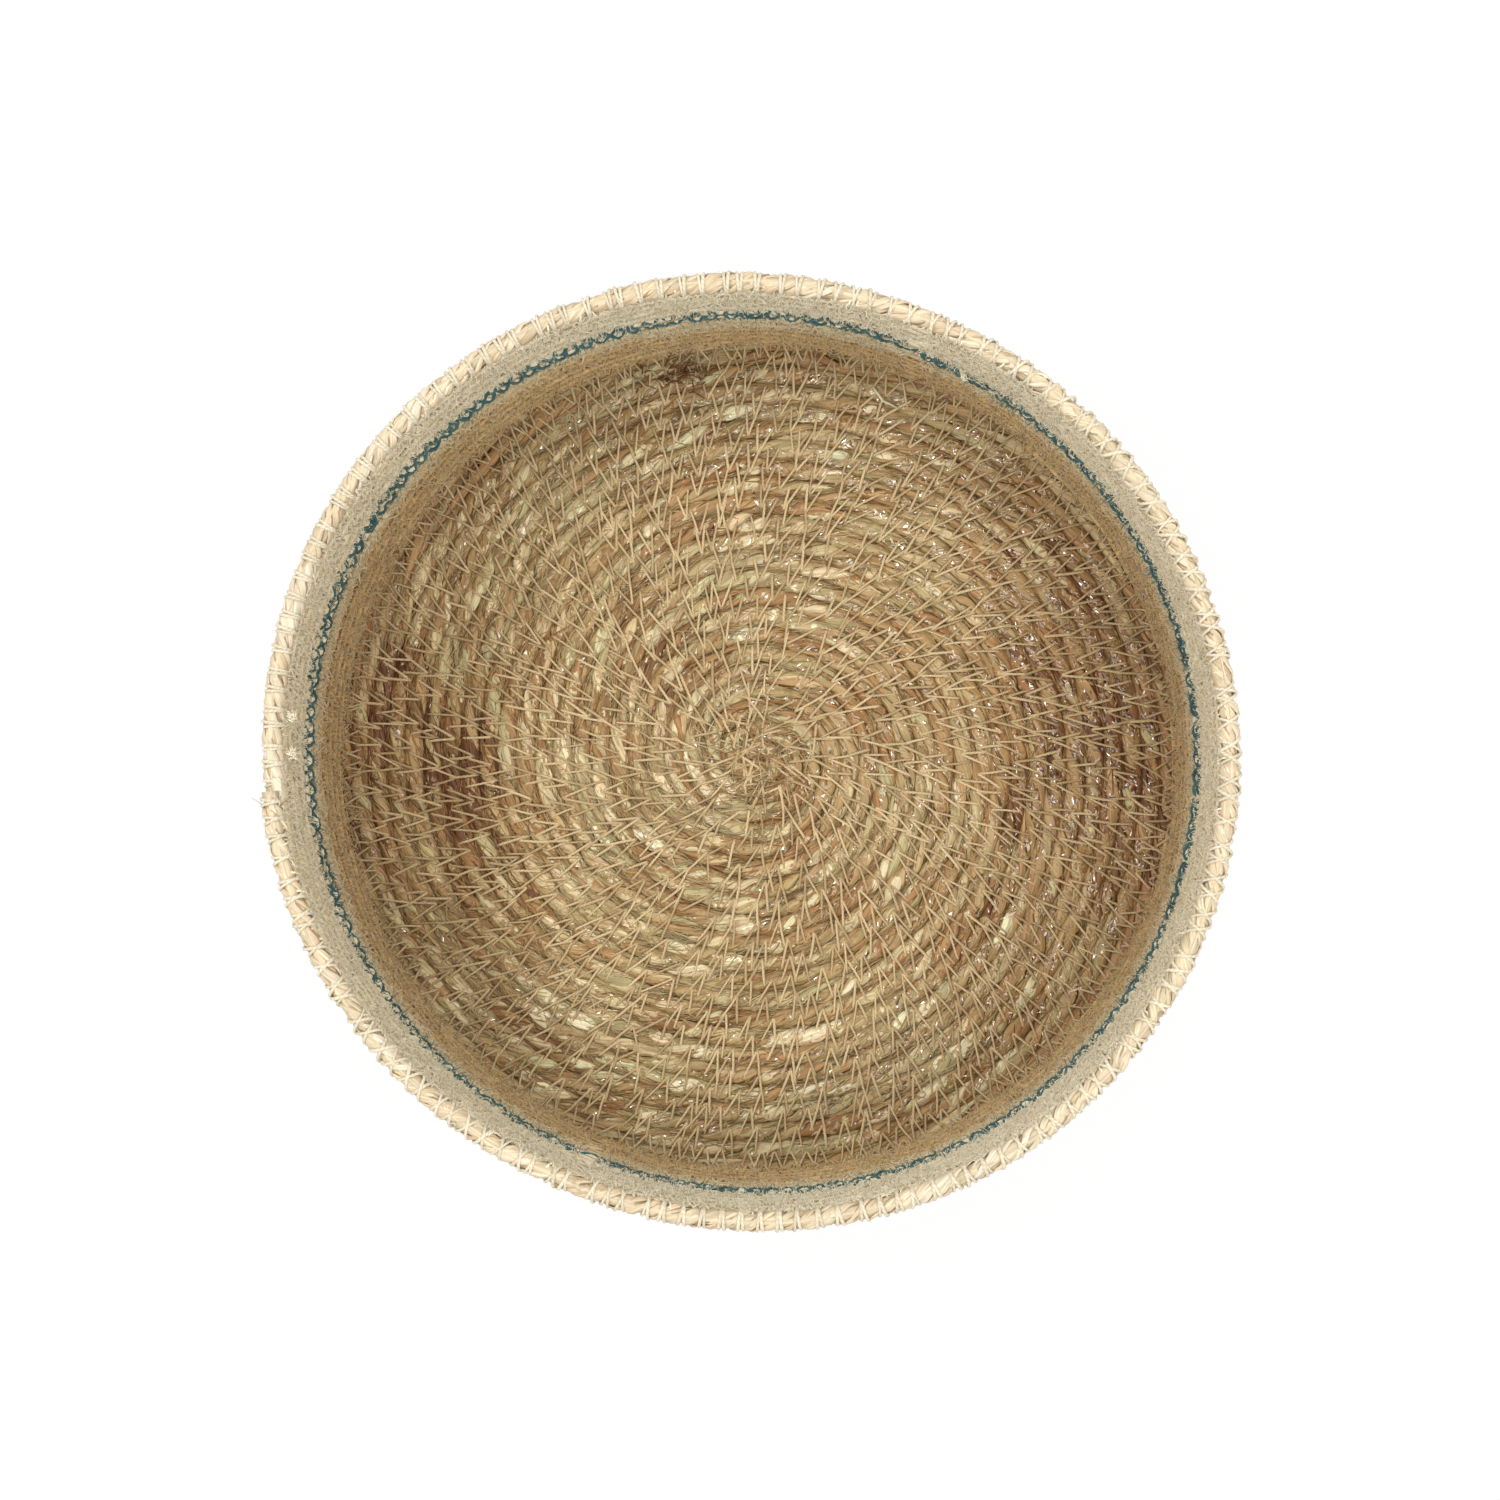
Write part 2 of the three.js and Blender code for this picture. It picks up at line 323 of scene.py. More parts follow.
@dataclass
class Rope:
    """A rope's path and section, on which leaves are laid. Stitches of a seam press into it, and where
    a thread is wound over it, it swells between the threads."""

    winding: Winding
    half_width: float
    half_height: float
    squareness: float
    seam: "Seam" = None
    swell: float = 0.0
    swell_length: float = 1.0

    def surface(self, lengths, angle, height):
        """Points at a length along the rope and an angle round it, so far above its surface.
        The angle is 90 degrees on the inside of the basket."""
        middle, _, along, inward = self.winding.at(lengths)
        turns = self.winding.turns_at(lengths)
        swell = self.swell * np.cos(FULL_TURN * lengths / self.swell_length)
        if angle.ndim > lengths.ndim:
            middle, along, inward = middle[..., None, :], along[..., None, :], inward[..., None, :]
            turns, swell = turns[..., None], swell[..., None]
        cosine, sine, power = np.cos(angle), np.sin(angle), 2 / self.squareness
        wide = np.sign(cosine) * abs(cosine) ** power * self.half_width
        high = np.sign(sine) * abs(sine) ** power * self.half_height
        height = height + swell
        if self.seam:
            height = height - self.seam.press(turns, wide / PITCH) * (sine > 0)
        sideways = along * (wide + cosine * height)[..., None]
        return middle + sideways + inward * (high + sine * height)[..., None]

    def core(self, step):
        """Rings of the plain core in short lengths. It is wide enough to close the gaps between turns."""
        count = max(1, round(self.winding.total / step))
        marks = np.linspace(0, self.winding.total, count + 1)
        lengths = marks[:-1, None] + np.diff(marks)[:, None] * np.linspace(0, 1, CORE_RINGS)
        angle = np.broadcast_to(circle(CORE_SIDES), (count, CORE_RINGS, CORE_SIDES))
        height = CORE_WIDTH * abs(np.cos(angle)) ** CORE_EDGE_POWER - CORE_DEPTH
        rings = self.surface(lengths, angle, height)
        return above_ground(rings), lengths.mean(1)


FIBRE_RINGS = 6
FIBRE_SIDES = 3
FIBRE_TAPER = np.array([0.35, 0.9, 1.0, 1.0, 0.9, 0.35])
FIBRE_LENGTHS = (0.5, 1.5)
FIBRE_WIDTHS = (0.6, 1.3)
FIBRE_LIFTS = (1.0, 0.5)
FIBRE_UNEVEN = 0.35


@dataclass
class Fibres:
    """Thin fibres lying on the inside of a rope."""

    length: float
    radius: float
    spread: float
    slant: tuple
    lift: float

    def scattered(self, rope, count, rng):
        starts = rng.uniform(0, rope.winding.total - 2 * self.length, (count, 1))
        reach_along = self.length * rng.uniform(*FIBRE_LENGTHS, (count, 1))
        part = np.linspace(0, 1, FIBRE_RINGS)
        lengths = starts + reach_along * part
        turned = np.tan(rng.normal(*self.slant, (count, 1))) * reach_along / rope.half_height
        angle = INSIDE + self.spread * rng.uniform(-0.5, 0.5, (count, 1)) + turned * (part - 0.5)
        height = rng.normal(*FIBRE_LIFTS, (count, 1)) + rng.normal(0, FIBRE_UNEVEN, (count, FIBRE_RINGS))
        points = rope.surface(lengths, angle, self.lift * height)
        radii = self.radius * rng.uniform(*FIBRE_WIDTHS, (count, 1)) * FIBRE_TAPER
        rings = round_tubes(points, radii, rope.winding.at(lengths)[3], FIBRE_SIDES)
        return above_ground(rings), lengths.mean(1)


# A leaf's section: places across it as shares of its width, and heights as shares of its thickness
LEAF_ACROSS = np.array([-0.5, -0.24, 0.24, 0.5, 0.0])
LEAF_HEIGHT = np.array([-0.1, 0.7, 0.7, -0.1, -0.6])

# How leaves lie end to end and side by side, and how they differ
LEAF_OVERLAPS = (0.0, 0.28)
LEAF_STAGGER = (-0.35, 0.35)
LEAF_SHIFT = 0.22
LEAF_LENGTHS = (0.6, 1.4)
LEAF_WIDTHS = (0.6, 1.35)

# A leaf narrows and sinks towards its ends, and its edges and its face wave
LEAF_END = 0.3
LEAF_TIP_WIDTH, LEAF_TIP_HEIGHT = 0.2, 0.4
LEAF_SINK = 1.7
LEAF_WAVE = 1.4 * MM
LEAF_WAVE_STARTS = (0, 6.3)
LEAF_EDGE_WAVES, LEAF_FACE_WAVES = 0.15, 0.4


@dataclass
class Leaves:
    """Leaf strips of one kind, laid side by side over part of a rope's girth."""

    length: float
    width: float
    thickness: float
    ring_count: int
    proud: float
    slant: tuple
    spread: float = FULL_TURN
    strips: int = 1
    middle_angle: float = INSIDE

    def laid(self, rope, rng):
        """Leaves end to end in each strip: rings, and the length along the rope at their middles."""
        total = rope.winding.total
        count = max(2, round(total / self.length))
        step = total / count
        for strip in range(self.strips):
            marks = np.linspace(0, total, count + 1)
            marks[1:-1] += rng.uniform(*LEAF_STAGGER, count - 1) * step
            starts = np.clip(marks[:-1] - rng.uniform(*LEAF_OVERLAPS, count) * step, 0, total)
            ends = np.clip(marks[1:] + rng.uniform(*LEAF_OVERLAPS, count) * step, 0, total)
            place = (strip + 0.5 + rng.normal(0, LEAF_SHIFT, count)) / self.strips - 0.5
            yield self.rings(rope, starts, ends, self.middle_angle + self.spread * place, rng)

    def scattered(self, rope, count, rng):
        """Single leaves here and there along the rope."""
        starts = rng.uniform(0, rope.winding.total - 2 * self.length, count)
        ends = starts + self.length * rng.uniform(*LEAF_LENGTHS, count)
        angle = self.middle_angle + self.spread * rng.uniform(-0.5, 0.5, count)
        return self.rings(rope, starts, ends, angle, rng)

    def rings(self, rope, starts, ends, angle, rng):
        count, part = len(starts), np.linspace(0, 1, self.ring_count)
        lengths = starts[:, None] + (ends - starts)[:, None] * part
        middles = (starts + ends) / 2
        slant = np.tan(rng.normal(*self.slant, (count, 1))) / rope.half_height
        angle = angle[:, None] + slant * (lengths - middles[:, None])
        taper = smooth_step(part / LEAF_END) * smooth_step((1 - part) / LEAF_END)
        waves = np.sin(lengths / LEAF_WAVE + rng.uniform(*LEAF_WAVE_STARTS, (count, 1)))
        width = self.width * rng.uniform(*LEAF_WIDTHS, (count, 1))
        width = width * (LEAF_TIP_WIDTH + (1 - LEAF_TIP_WIDTH) * taper) * (1 + LEAF_EDGE_WAVES * waves)
        proud = self.proud * (rng.normal(0, 1, (count, 1)) + LEAF_FACE_WAVES * waves)
        proud = proud + self.thickness * LEAF_SINK * (taper - 1)
        across = width[..., None] * LEAF_ACROSS
        thinned = LEAF_TIP_HEIGHT + (1 - LEAF_TIP_HEIGHT) * taper[:, None]
        height = proud[..., None] + self.thickness * LEAF_HEIGHT * thinned
        rings = rope.surface(lengths, angle[..., None] + across / rope.half_height, height)
        return above_ground(rings), middles


# Painted light and shade: out from these turns the basket's tones are coloured lighter on two opposite
# sides and darker between them, for light and shade that fall that way
PAINTED_LIGHT_SIDE = radians(95)
PAINTED_LIGHT_FROM, PAINTED_LIGHT_FULL = 11.0, 16.0
PAINTED_SHADE_SHIFT = 0.25
LEAF_PAINTED_LIGHT = 0.11
LEAF_PAINTED_SHADE_POWER = 6
NAP_PAINTED_LIGHT_SWING = 0.45
STITCH_PAINTED_LIGHT_SWING = 0.35


def far_out(turns):
    return smooth_step((turns - PAINTED_LIGHT_FROM) / (PAINTED_LIGHT_FULL - PAINTED_LIGHT_FROM))


def painted_light_and_shade(turns):
    """Painted light and shade: how much lighter the rope is coloured on its two lit sides, and below 0 how
    much darker between them.
    """
    return far_out(turns) * (np.cos(2 * (direction(turns) - PAINTED_LIGHT_SIDE)) - PAINTED_SHADE_SHIFT)


def leaf_painted_light_and_shade(turns):
    """The same painted light and shade for leaves, which are coloured dark on two narrower sides."""
    return far_out(turns) * (LEAF_PAINTED_LIGHT - np.sin(direction(turns) - PAINTED_LIGHT_SIDE) ** LEAF_PAINTED_SHADE_POWER)


# A stitch's leg runs straight from a hole in one turn to a hole in the next. Its points are shares of
# that way, and heights above the ropes' crests.
LEG_PARTS = np.array([0.0, 0.1, 0.26, 0.5, 0.74, 0.9, 1.0])
LEG_HEIGHT = np.array([-1.2, -0.1, 0.28, 0.16, 0.28, -0.1, -1.2]) * MM
LEG_SWAY = 0.14 * MM
LEG_UNEVEN = 0.11 * MM
LEG_WIDTHS = (0.8, 1.12)
LEG_CLEARANCE = 1.15

# How deep and how wide a leg and its holes press into the rope
LEG_PRESS, LEG_REACH = 0.38 * MM, 0.9 * MM
HOLE_PRESS, HOLE_REACH = 0.5 * MM, 1.4 * MM
MOST_PRESS = 0.8 * MM


@dataclass
class Thread:
    """A sewing thread and the zigzag that it makes along a seam. Across it goes from one place to another,
    in pitches from the seam's first turn, and along it leans forward and backward. Its weight can
    change with the direction from the middle, in degrees."""

    DIRECTIONS = (0, 70, 90, 135, 180, 250, 315, 360)
    EVEN = (1,) * len(DIRECTIONS)

    radius: float
    sides: int
    spacing: float
    across: tuple
    leans: tuple
    chance: float
    weights: tuple = EVEN

    def radii(self, turns):
        return self.radius * by_direction(turns, self.DIRECTIONS, self.weights)


def seam_girth(turns):
    return FULL_TURN * (profile(turns)[0] + PITCH / 2)


class Seam:
    """The stitches of one thread along a seam."""

    def __init__(self, thread, start, end, rng):
        self.thread = thread
        self.turns = self.stitch_turns(start, end, rng)
        self.girths = seam_girth(self.turns)
        count, chance = len(self.turns), 0.5 * thread.chance
        self.top = thread.across[0] + rng.normal(0, chance, count)
        self.feet = [thread.across[1] + rng.normal(0, chance, count) for _ in thread.leans]
        self.leans = [lean + thread.spacing * rng.normal(0, chance, count) for lean in thread.leans]

    def stitch_turns(self, start, end, rng):
        """Turns at which stitches start. In each turn they lie halfway between those of the turn before."""
        marks = np.linspace(start, end, int((end - start) * Winding.SAMPLES_PER_TURN))
        per_turn = np.floor(seam_girth(marks) / self.thread.spacing) + 0.5
        counted = np.append(0, np.cumsum(np.diff(marks) * per_turn[1:]))
        places = np.arange(0.5, counted[-1])
        turns = np.interp(places + rng.normal(0, self.thread.chance, len(places)), counted, marks)
        return np.sort(turns)

    def hole(self, turns, across):
        """A place in the seam, and the way to the inside there."""
        low, _, _, low_inward = stations(turns)
        high, _, _, high_inward = stations(turns + 1)
        return low + (high - low) * across[:, None], unit(low_inward + high_inward)

    def add_legs(self, bundle, crest, side, rng, end=RIM_END):
        """Adds both legs of each stitch up to a turn, on the inside (side 1) or the outside (side -1)."""
        kept = self.turns < end
        thread, count, part = self.thread, len(self.turns), LEG_PARTS[:, None]
        top, top_inward = self.hole(self.turns, self.top)
        for lean, foot_across in zip(self.leans, self.feet):
            foot, foot_inward = self.hole(self.turns + lean / self.girths, foot_across)
            inward = unit(top_inward + foot_inward)[:, None] * side
            line = top[:, None] + (foot - top)[:, None] * part
            sideways = unit(np.cross(inward, (foot - top)[:, None]))
            sway = rng.normal(0, LEG_SWAY, (count, 1, 1)) * np.sin(pi * part)
            lift = crest + LEG_HEIGHT[:, None] + rng.normal(0, LEG_UNEVEN, (count, 1, 1))
            points = above_ground(line + inward * lift + sideways * sway, LEG_CLEARANCE * thread.radius)
            radii = thread.radii(self.turns)[:, None] * rng.uniform(*LEG_WIDTHS, (count, 1))
            radii = radii * np.ones(len(LEG_PARTS))
            rings = round_tubes(points, radii, inward, thread.sides)
            # Painted light and shade: stitch tones are lightened and darkened by direction
            tone = rng.random(count) + STITCH_PAINTED_LIGHT_SWING * painted_light_and_shade(self.turns)
            bundle.add(rings[kept], tone[kept], rng.random(count)[kept])

    def press(self, turns, across):
        """How deep stitches press into the rope, from the seam after this turn and the one before it."""
        turns = np.broadcast_to(turns, across.shape)
        pressed = self.press_of_seam(turns, across) + self.press_of_seam(turns - 1, across + 1)
        return np.minimum(pressed, MOST_PRESS)

    def press_of_seam(self, turns, across):
        after = np.clip(np.searchsorted(self.turns, turns), 1, len(self.turns) - 1)
        deepest = np.zeros(across.shape)
        for stitch in (after - 1, after):
            past = (turns - self.turns[stitch]) * self.girths[stitch]
            from_top = across - self.top[stitch]
            hole = HOLE_PRESS * np.exp(-(past**2 + (from_top * PITCH) ** 2) / HOLE_REACH**2)
            deepest = np.maximum(deepest, hole)
            for leans, feet in zip(self.leans, self.feet):
                part = from_top / (feet[stitch] - self.top[stitch])
                beside = past - leans[stitch] * np.clip(part, 0, 1)
                beyond = (np.maximum(part - 1, 0) + np.maximum(-part, 0)) * PITCH
                leg = LEG_PRESS * np.exp(-(beside**2 + beyond**2) / LEG_REACH**2)
                deepest = np.maximum(deepest, leg)
        return deepest


NAP_RADII = np.array([0.16, 0.07]) * MM
NAP_SIDES = 3
NAP_LENGTHS = (1.2 * MM, 3.2 * MM)
NAP_ROOT = 0.2 * MM
NAP_ACROSS = (-0.1, 1.1)


def add_nap(bundle, start, end, crest, side, count, rng):
    """Short fibres that stand out of the sewn wall."""
    turns = rng.uniform(start, end, count)
    low, course, along, inward = stations(turns)
    high = stations(turns + 1)[0]
    across = rng.uniform(*NAP_ACROSS, (count, 1))
    root = low + (high - low) * across + inward * side * (crest - NAP_ROOT)
    tilt = rng.normal(0, 1, (count, 2))
    out = unit(inward * side + course * tilt[:, :1] + along * tilt[:, 1:])
    length = rng.uniform(*NAP_LENGTHS, (count, 1))
    points = np.stack([root, root + out * length], 1)
    sideways = square_to(out, rng)[:, None]
    rings = round_tubes(points, np.broadcast_to(NAP_RADII, (count, 2)), sideways, NAP_SIDES)
    # Painted light and shade: nap tones are lightened and darkened by direction
    tone = rng.random(count) + NAP_PAINTED_LIGHT_SWING * painted_light_and_shade(turns)
    bundle.add(above_ground(rings, NAP_RADII[0]), tone, rng.random(count))


FELT_STEP = 3.5 * MM
FELT_RADIUS = 1.5 * MM
FELT_WIDTHS = (0.8, 1.15)
FELT_DEPTH = 1.1 * MM
FELT_RINGS = 10
FELT_SIDES = 7


def add_felt(bundle, start, end, crest, rng):
    """Matted yarn that fills the grooves between the wall's turns on the inside."""
    girth = FULL_TURN * profile((start + end) / 2)[0]
    count = round((end - start) * girth / (FELT_STEP * (FELT_RINGS - 1)))
    marks = np.linspace(start, end, count + 1)
    turns = marks[:-1, None] + np.diff(marks)[:, None] * np.linspace(0, 1, FELT_RINGS)
    low, _, _, inward = stations(turns)
    middle = (low + stations(turns + 1)[0]) / 2 + inward * (crest - FELT_DEPTH)
    radii = FELT_RADIUS * rng.uniform(*FELT_WIDTHS, turns.shape)
    rings = round_tubes(middle, radii, inward, FELT_SIDES)
    # Painted light and shade: felt tones are lightened and darkened by direction
    tone = rng.random(count) + NAP_PAINTED_LIGHT_SWING * painted_light_and_shade(marks[:-1])
    bundle.add(rings, tone, rng.random(count))


# The rim's thread goes over the rope from the groove inside to the groove outside. Its legs cross on top
# where they lean widely, and lie nearly side by side elsewhere: directions in degrees, and how widely.
# Their ends dip into the grooves, the outer ones deeper.
OVERCAST_RINGS = 15
OVERCAST_SIDES = 5
OVERCAST_FROM = radians(140)
OVERCAST_TO = radians(-140)
OVERCAST_CROSSING = 0.5
PAIR_OFFSET = 0.7 * MM
OVERCAST_RADIUS = 0.56 * MM
OVERCAST_WIDTHS = (0.75, 1.15)
OVERCAST_LIFT = 0.5 * MM
OVERCAST_DIP, OUTER_DIP = 1.5 * MM, 3.2 * MM
DIP_POWER = 4
OVERCAST_UNEVEN = 0.2 * MM
OVERCAST_CHANCE = 0.14
LEAN_CHANCE = 0.22
WIDE_DIRECTIONS = (0, 30, 90, 180, 225, 265, 310, 360)
WIDTHS = (1.0, 0.9, 0.15, 0.15, 0.9, 0.15, 0.5, 1.0)


def add_overcast(bundle, rope, spacing, spread, rng):
    total = rope.winding.total
    count = round(total / spacing)
    marks = (np.arange(count) + 0.5 + rng.normal(0, OVERCAST_CHANCE, count)) * total / count
    wide = by_direction(rope.winding.turns_at(marks), WIDE_DIRECTIONS, WIDTHS)
    part = np.linspace(0, 1, OVERCAST_RINGS)
    for way in (1, -1):
        leaning = way * spread * (wide * rng.normal(1, LEAN_CHANCE, count))[:, None]
        beside = way * PAIR_OFFSET * (1 - wide)[:, None]
        lengths = np.clip(marks[:, None] + beside + leaning * (part - OVERCAST_CROSSING), 0, total)
        angle = OVERCAST_FROM + (OVERCAST_TO - OVERCAST_FROM) * np.broadcast_to(part, (count, len(part)))
        dip = np.where(part > 0.5, OUTER_DIP, OVERCAST_DIP)
        lift = OVERCAST_LIFT - dip * (2 * abs(part - 0.5)) ** DIP_POWER
        lift = lift + rng.uniform(0, OVERCAST_UNEVEN, (count, 1))
        points = rope.surface(lengths, angle, lift)
        radii = OVERCAST_RADIUS * rng.uniform(*OVERCAST_WIDTHS, (count, 1)) * np.ones(len(part))
        rings = round_tubes(points, radii, rope.winding.at(lengths)[1], OVERCAST_SIDES)
        bundle.add(rings, rng.random(count), rng.random(count))


TUFT_TAPER = np.array([1.0, 0.9, 0.5])
TUFT_WIDTHS = (0.7, 1.2)
TUFT_BEND = 0.25
TUFT_SIDES = 4


@dataclass
class Tuft:
    """Loose fibres from about one place, all ways or about one course."""

    size: object
    course: tuple
    spread: object
    lengths: tuple
    radius: float
    tones: tuple
    count: int = 1

    def add(self, bundle, middle, rng):
        count = self.count
        root = np.array(middle) + rng.normal(0, 1, (count, 3)) * self.size
        out = unit(np.array(self.course) + rng.normal(0, self.spread, (count, 3)))
        bend = square_to(out, rng) * rng.normal(0, TUFT_BEND, (count, 1))
        length = rng.uniform(*self.lengths, (count, 1))
        points = np.stack([root, root + (out + bend) * length / 2, root + out * length], 1)
        radii = self.radius * TUFT_TAPER * rng.uniform(*TUFT_WIDTHS, (count, 1))
        rings = above_ground(round_tubes(points, radii, square_to(out, rng)[:, None], TUFT_SIDES))
        bundle.add(rings, rng.uniform(*self.tones, count), rng.random(count))


# Materials


def linear(red, green, blue):
    """A colour seen on a screen, as the light that it stands for."""
    def channel(value):
        value /= 255
        return value / 12.92 if value <= 0.04045 else ((value + 0.055) / 1.055) ** 2.4

    return channel(red), channel(green), channel(blue), 1.0


class Nodes:
    """The nodes of a material or of the world, added and linked in one line each."""

    # How far apart the noise of the tubes with seeds 0 and 1 lies, in millimetres
    SEED_REACH = 937.0

    def __init__(self, owner, shader="Principled BSDF"):
        self.owner = owner
        owner.use_nodes = True
        self.tree = owner.node_tree
        self.shader = self.tree.nodes[shader]

    def add(self, kind, inputs=None, **settings):
        node = self.tree.nodes.new(kind)
        for key, value in settings.items():
            setattr(node, key, value)
        self.join(node, inputs or {})
        return node

    def join(self, node, inputs):
        for key, value in inputs.items():
            if isinstance(value, bpy.types.NodeSocket):
                self.tree.links.new(value, node.inputs[key])
            else:
                node.inputs[key].default_value = value

    def math(self, operation, first, second):
        return self.add("ShaderNodeMath", {0: first, 1: second}, operation=operation).outputs[0]

    def value_of(self, name):
        return self.add("ShaderNodeAttribute", attribute_name=name).outputs["Fac"]

    def ramp(self, factor, stops):
        node = self.add("ShaderNodeValToRGB", {"Fac": factor})
        elements = node.color_ramp.elements
        while len(elements) < len(stops):
            elements.new(0.5)
        for element, (position, colour) in zip(elements, stops):
            element.position = position
            element.color = colour
        return node.outputs["Color"]

    def mix(self, blend, factor, first, second):
        node = self.add("ShaderNodeMix", data_type="RGBA", blend_type=blend)
        self.join(node, {0: factor, 6: first, 7: second})
        return node.outputs[2]

    def fibres(self, across, along, detail=3.0):
        """Noise drawn out along the fibres, different on each tube."""
        place = self.add("ShaderNodeUVMap", uv_map="Fibre").outputs["UV"]
        offset = self.math("MULTIPLY", self.value_of("seed"), self.SEED_REACH)
        apart = self.add("ShaderNodeCombineXYZ", {"X": offset, "Y": offset}).outputs[0]
        moved = self.add("ShaderNodeVectorMath", {0: place, 1: apart}, operation="ADD").outputs[0]
        scale = (across, along, 1.0)
        scaled = self.add("ShaderNodeVectorMath", {0: moved, 1: scale}, operation="MULTIPLY").outputs[0]
        noise = self.add("ShaderNodeTexNoise", {"Vector": scaled, "Scale": 1.0, "Detail": detail})
        return noise.outputs["Fac"]

    def seen(self):
        """1 for rays that show the surface itself, in a mirror or through glass, and 0 for the rest."""
        rays = self.add("ShaderNodeLightPath").outputs
        seen = self.math("MAXIMUM", rays["Is Camera Ray"], rays["Is Glossy Ray"])
        return self.math("MAXIMUM", seen, rays["Is Transmission Ray"])

    def bump(self, height, strength, distance):
        node = self.add("ShaderNodeBump", {"Height": height, "Strength": strength, "Distance": distance})
        self.join(self.shader, {"Normal": node.outputs["Normal"]})


def grey(value):
    return value, value, value, 1.0


def tint(red, green, blue):
    return red, green, blue, 1.0


# Leaves of one tone still differ: reddish, plain or greenish
LEAF_TINTS = [
    (0.0, tint(0.96, 0.86, 0.78)),
    (0.18, tint(1.0, 0.975, 0.95)),
    (0.5, tint(1.0, 1.01, 1.0)),
    (0.75, tint(0.97, 1.02, 0.99)),
    (1.0, tint(0.89, 1.02, 0.94)),
]


def leaf_material(name, stops, shine, coat, gloss, darkest, tinted):
    """Dry leaf: one tone a strip, fine lengthwise fibres, blotches, and a waxy shine."""
    nodes = Nodes(bpy.data.materials.new(name))
    tone = nodes.ramp(nodes.value_of("tone"), stops)
    streaks = nodes.fibres(1.5, 0.05)
    blotches = nodes.fibres(0.35, 0.09, 2.0)
    shade = nodes.ramp(streaks, [(0.34, grey(darkest)), (0.5, grey(0.96)), (0.68, grey(1.25))])
    patches = nodes.ramp(blotches, [(0.32, grey(0.8)), (0.6, grey(1.05))])
    colour = nodes.mix("MULTIPLY", tinted, tone, nodes.ramp(nodes.value_of("seed"), LEAF_TINTS))
    colour = nodes.mix("MULTIPLY", 1.0, colour, shade)
    colour = nodes.mix("MULTIPLY", 1.0, colour, patches)
    rough = nodes.add("ShaderNodeMapRange", {"Value": streaks, "To Min": 0.42, "To Max": 0.68})
    nodes.join(nodes.shader, {
        "Base Color": colour,
        "Roughness": rough.outputs["Result"],
        "Specular IOR Level": shine,
        "Coat Weight": coat,
        "Coat Roughness": 0.22,
        "Coat IOR": gloss,
    })
    nodes.bump(streaks, 0.6, 0.3 * MM)
    return nodes.owner


def thread_material(name, dark, light, sheen):
    """Spun yarn: slanting plies with painted shade in the grooves between them, uneven colour and a soft
    nap.
    """
    nodes = Nodes(bpy.data.materials.new(name))
    place = nodes.add("ShaderNodeUVMap", uv_map="Fibre").outputs["UV"]
    plies = nodes.add(
        "ShaderNodeTexWave", {"Vector": place, "Scale": 0.42, "Distortion": 1.2, "Detail": 2.0},
        bands_direction="DIAGONAL",
    ).outputs["Fac"]
    nap = nodes.fibres(1.6, 0.8)
    tone = nodes.math("MULTIPLY", nodes.value_of("tone"), 0.5)
    level = nodes.math("ADD", tone, nodes.math("MULTIPLY", nap, 0.5))
    colour = nodes.ramp(level, [(0.1, dark), (0.8, light)])
    # Painted shade: the grooves between the plies are coloured darker
    grooves = nodes.ramp(plies, [(0.0, grey(0.8)), (0.5, grey(1.0))])
    nodes.join(nodes.shader, {
        "Base Color": nodes.mix("MULTIPLY", 1.0, colour, grooves),
        "Roughness": 0.85,
        "Sheen Weight": sheen,
        "Sheen Roughness": 0.5,
    })
    nodes.bump(nodes.math("ADD", plies, nap), 0.5, 0.2 * MM)
    return nodes.owner


SEAGRASS_STOPS = [
    (0.0, linear(102, 64, 38)),
    (0.08, linear(136, 97, 60)),
    (0.2, linear(157, 117, 74)),
    (0.36, linear(170, 135, 91)),
    (0.5, linear(174, 148, 105)),
    (0.62, linear(180, 160, 117)),
    (0.74, linear(193, 172, 130)),
    (0.86, linear(213, 194, 155)),
    (1.0, linear(240, 226, 196)),
]
PALE_STOPS = [
    (0.0, linear(190, 166, 124)),
    (0.4, linear(212, 192, 152)),
    (0.8, linear(230, 212, 172)),
    (1.0, linear(242, 228, 194)),
]
STRAW_STOPS = [
    (0.0, linear(195, 171, 136)),
    (0.3, linear(210, 189, 155)),
    (0.75, linear(221, 204, 175)),
    (1.0, linear(227, 216, 194)),
]

seagrass = leaf_material(
    "seagrass", SEAGRASS_STOPS, shine=0.2, coat=0.08, gloss=1.5, darkest=0.62, tinted=1.0
)
shiny_leaf = leaf_material(
    "shiny_leaf", SEAGRASS_STOPS, shine=0.2, coat=1.0, gloss=2.3, darkest=0.8, tinted=0.5
)
pale_seagrass = leaf_material(
    "pale_seagrass", PALE_STOPS, shine=0.4, coat=0.1, gloss=1.5, darkest=0.7, tinted=0.4
)
straw = leaf_material("straw", STRAW_STOPS, shine=0.4, coat=0.15, gloss=1.5, darkest=0.78, tinted=0.3)
tan_thread = thread_material("tan_thread", linear(160, 131, 86), linear(212, 188, 143), sheen=0.2)
brown_nap = thread_material("brown_nap", linear(197, 160, 97), linear(233, 198, 131), sheen=0.4)
oat_thread = thread_material("oat_thread", linear(204, 182, 136), linear(238, 222, 180), sheen=0.4)
cream_thread = thread_material("cream_thread", linear(236, 221, 184), linear(252, 243, 214), sheen=0.4)
blue_thread = thread_material("blue_thread", linear(32, 78, 80), linear(72, 120, 119), sheen=0.1)
white_thread = thread_material("white_thread", linear(207, 194, 164), linear(229, 218, 192), sheen=0.2)


# Pieces


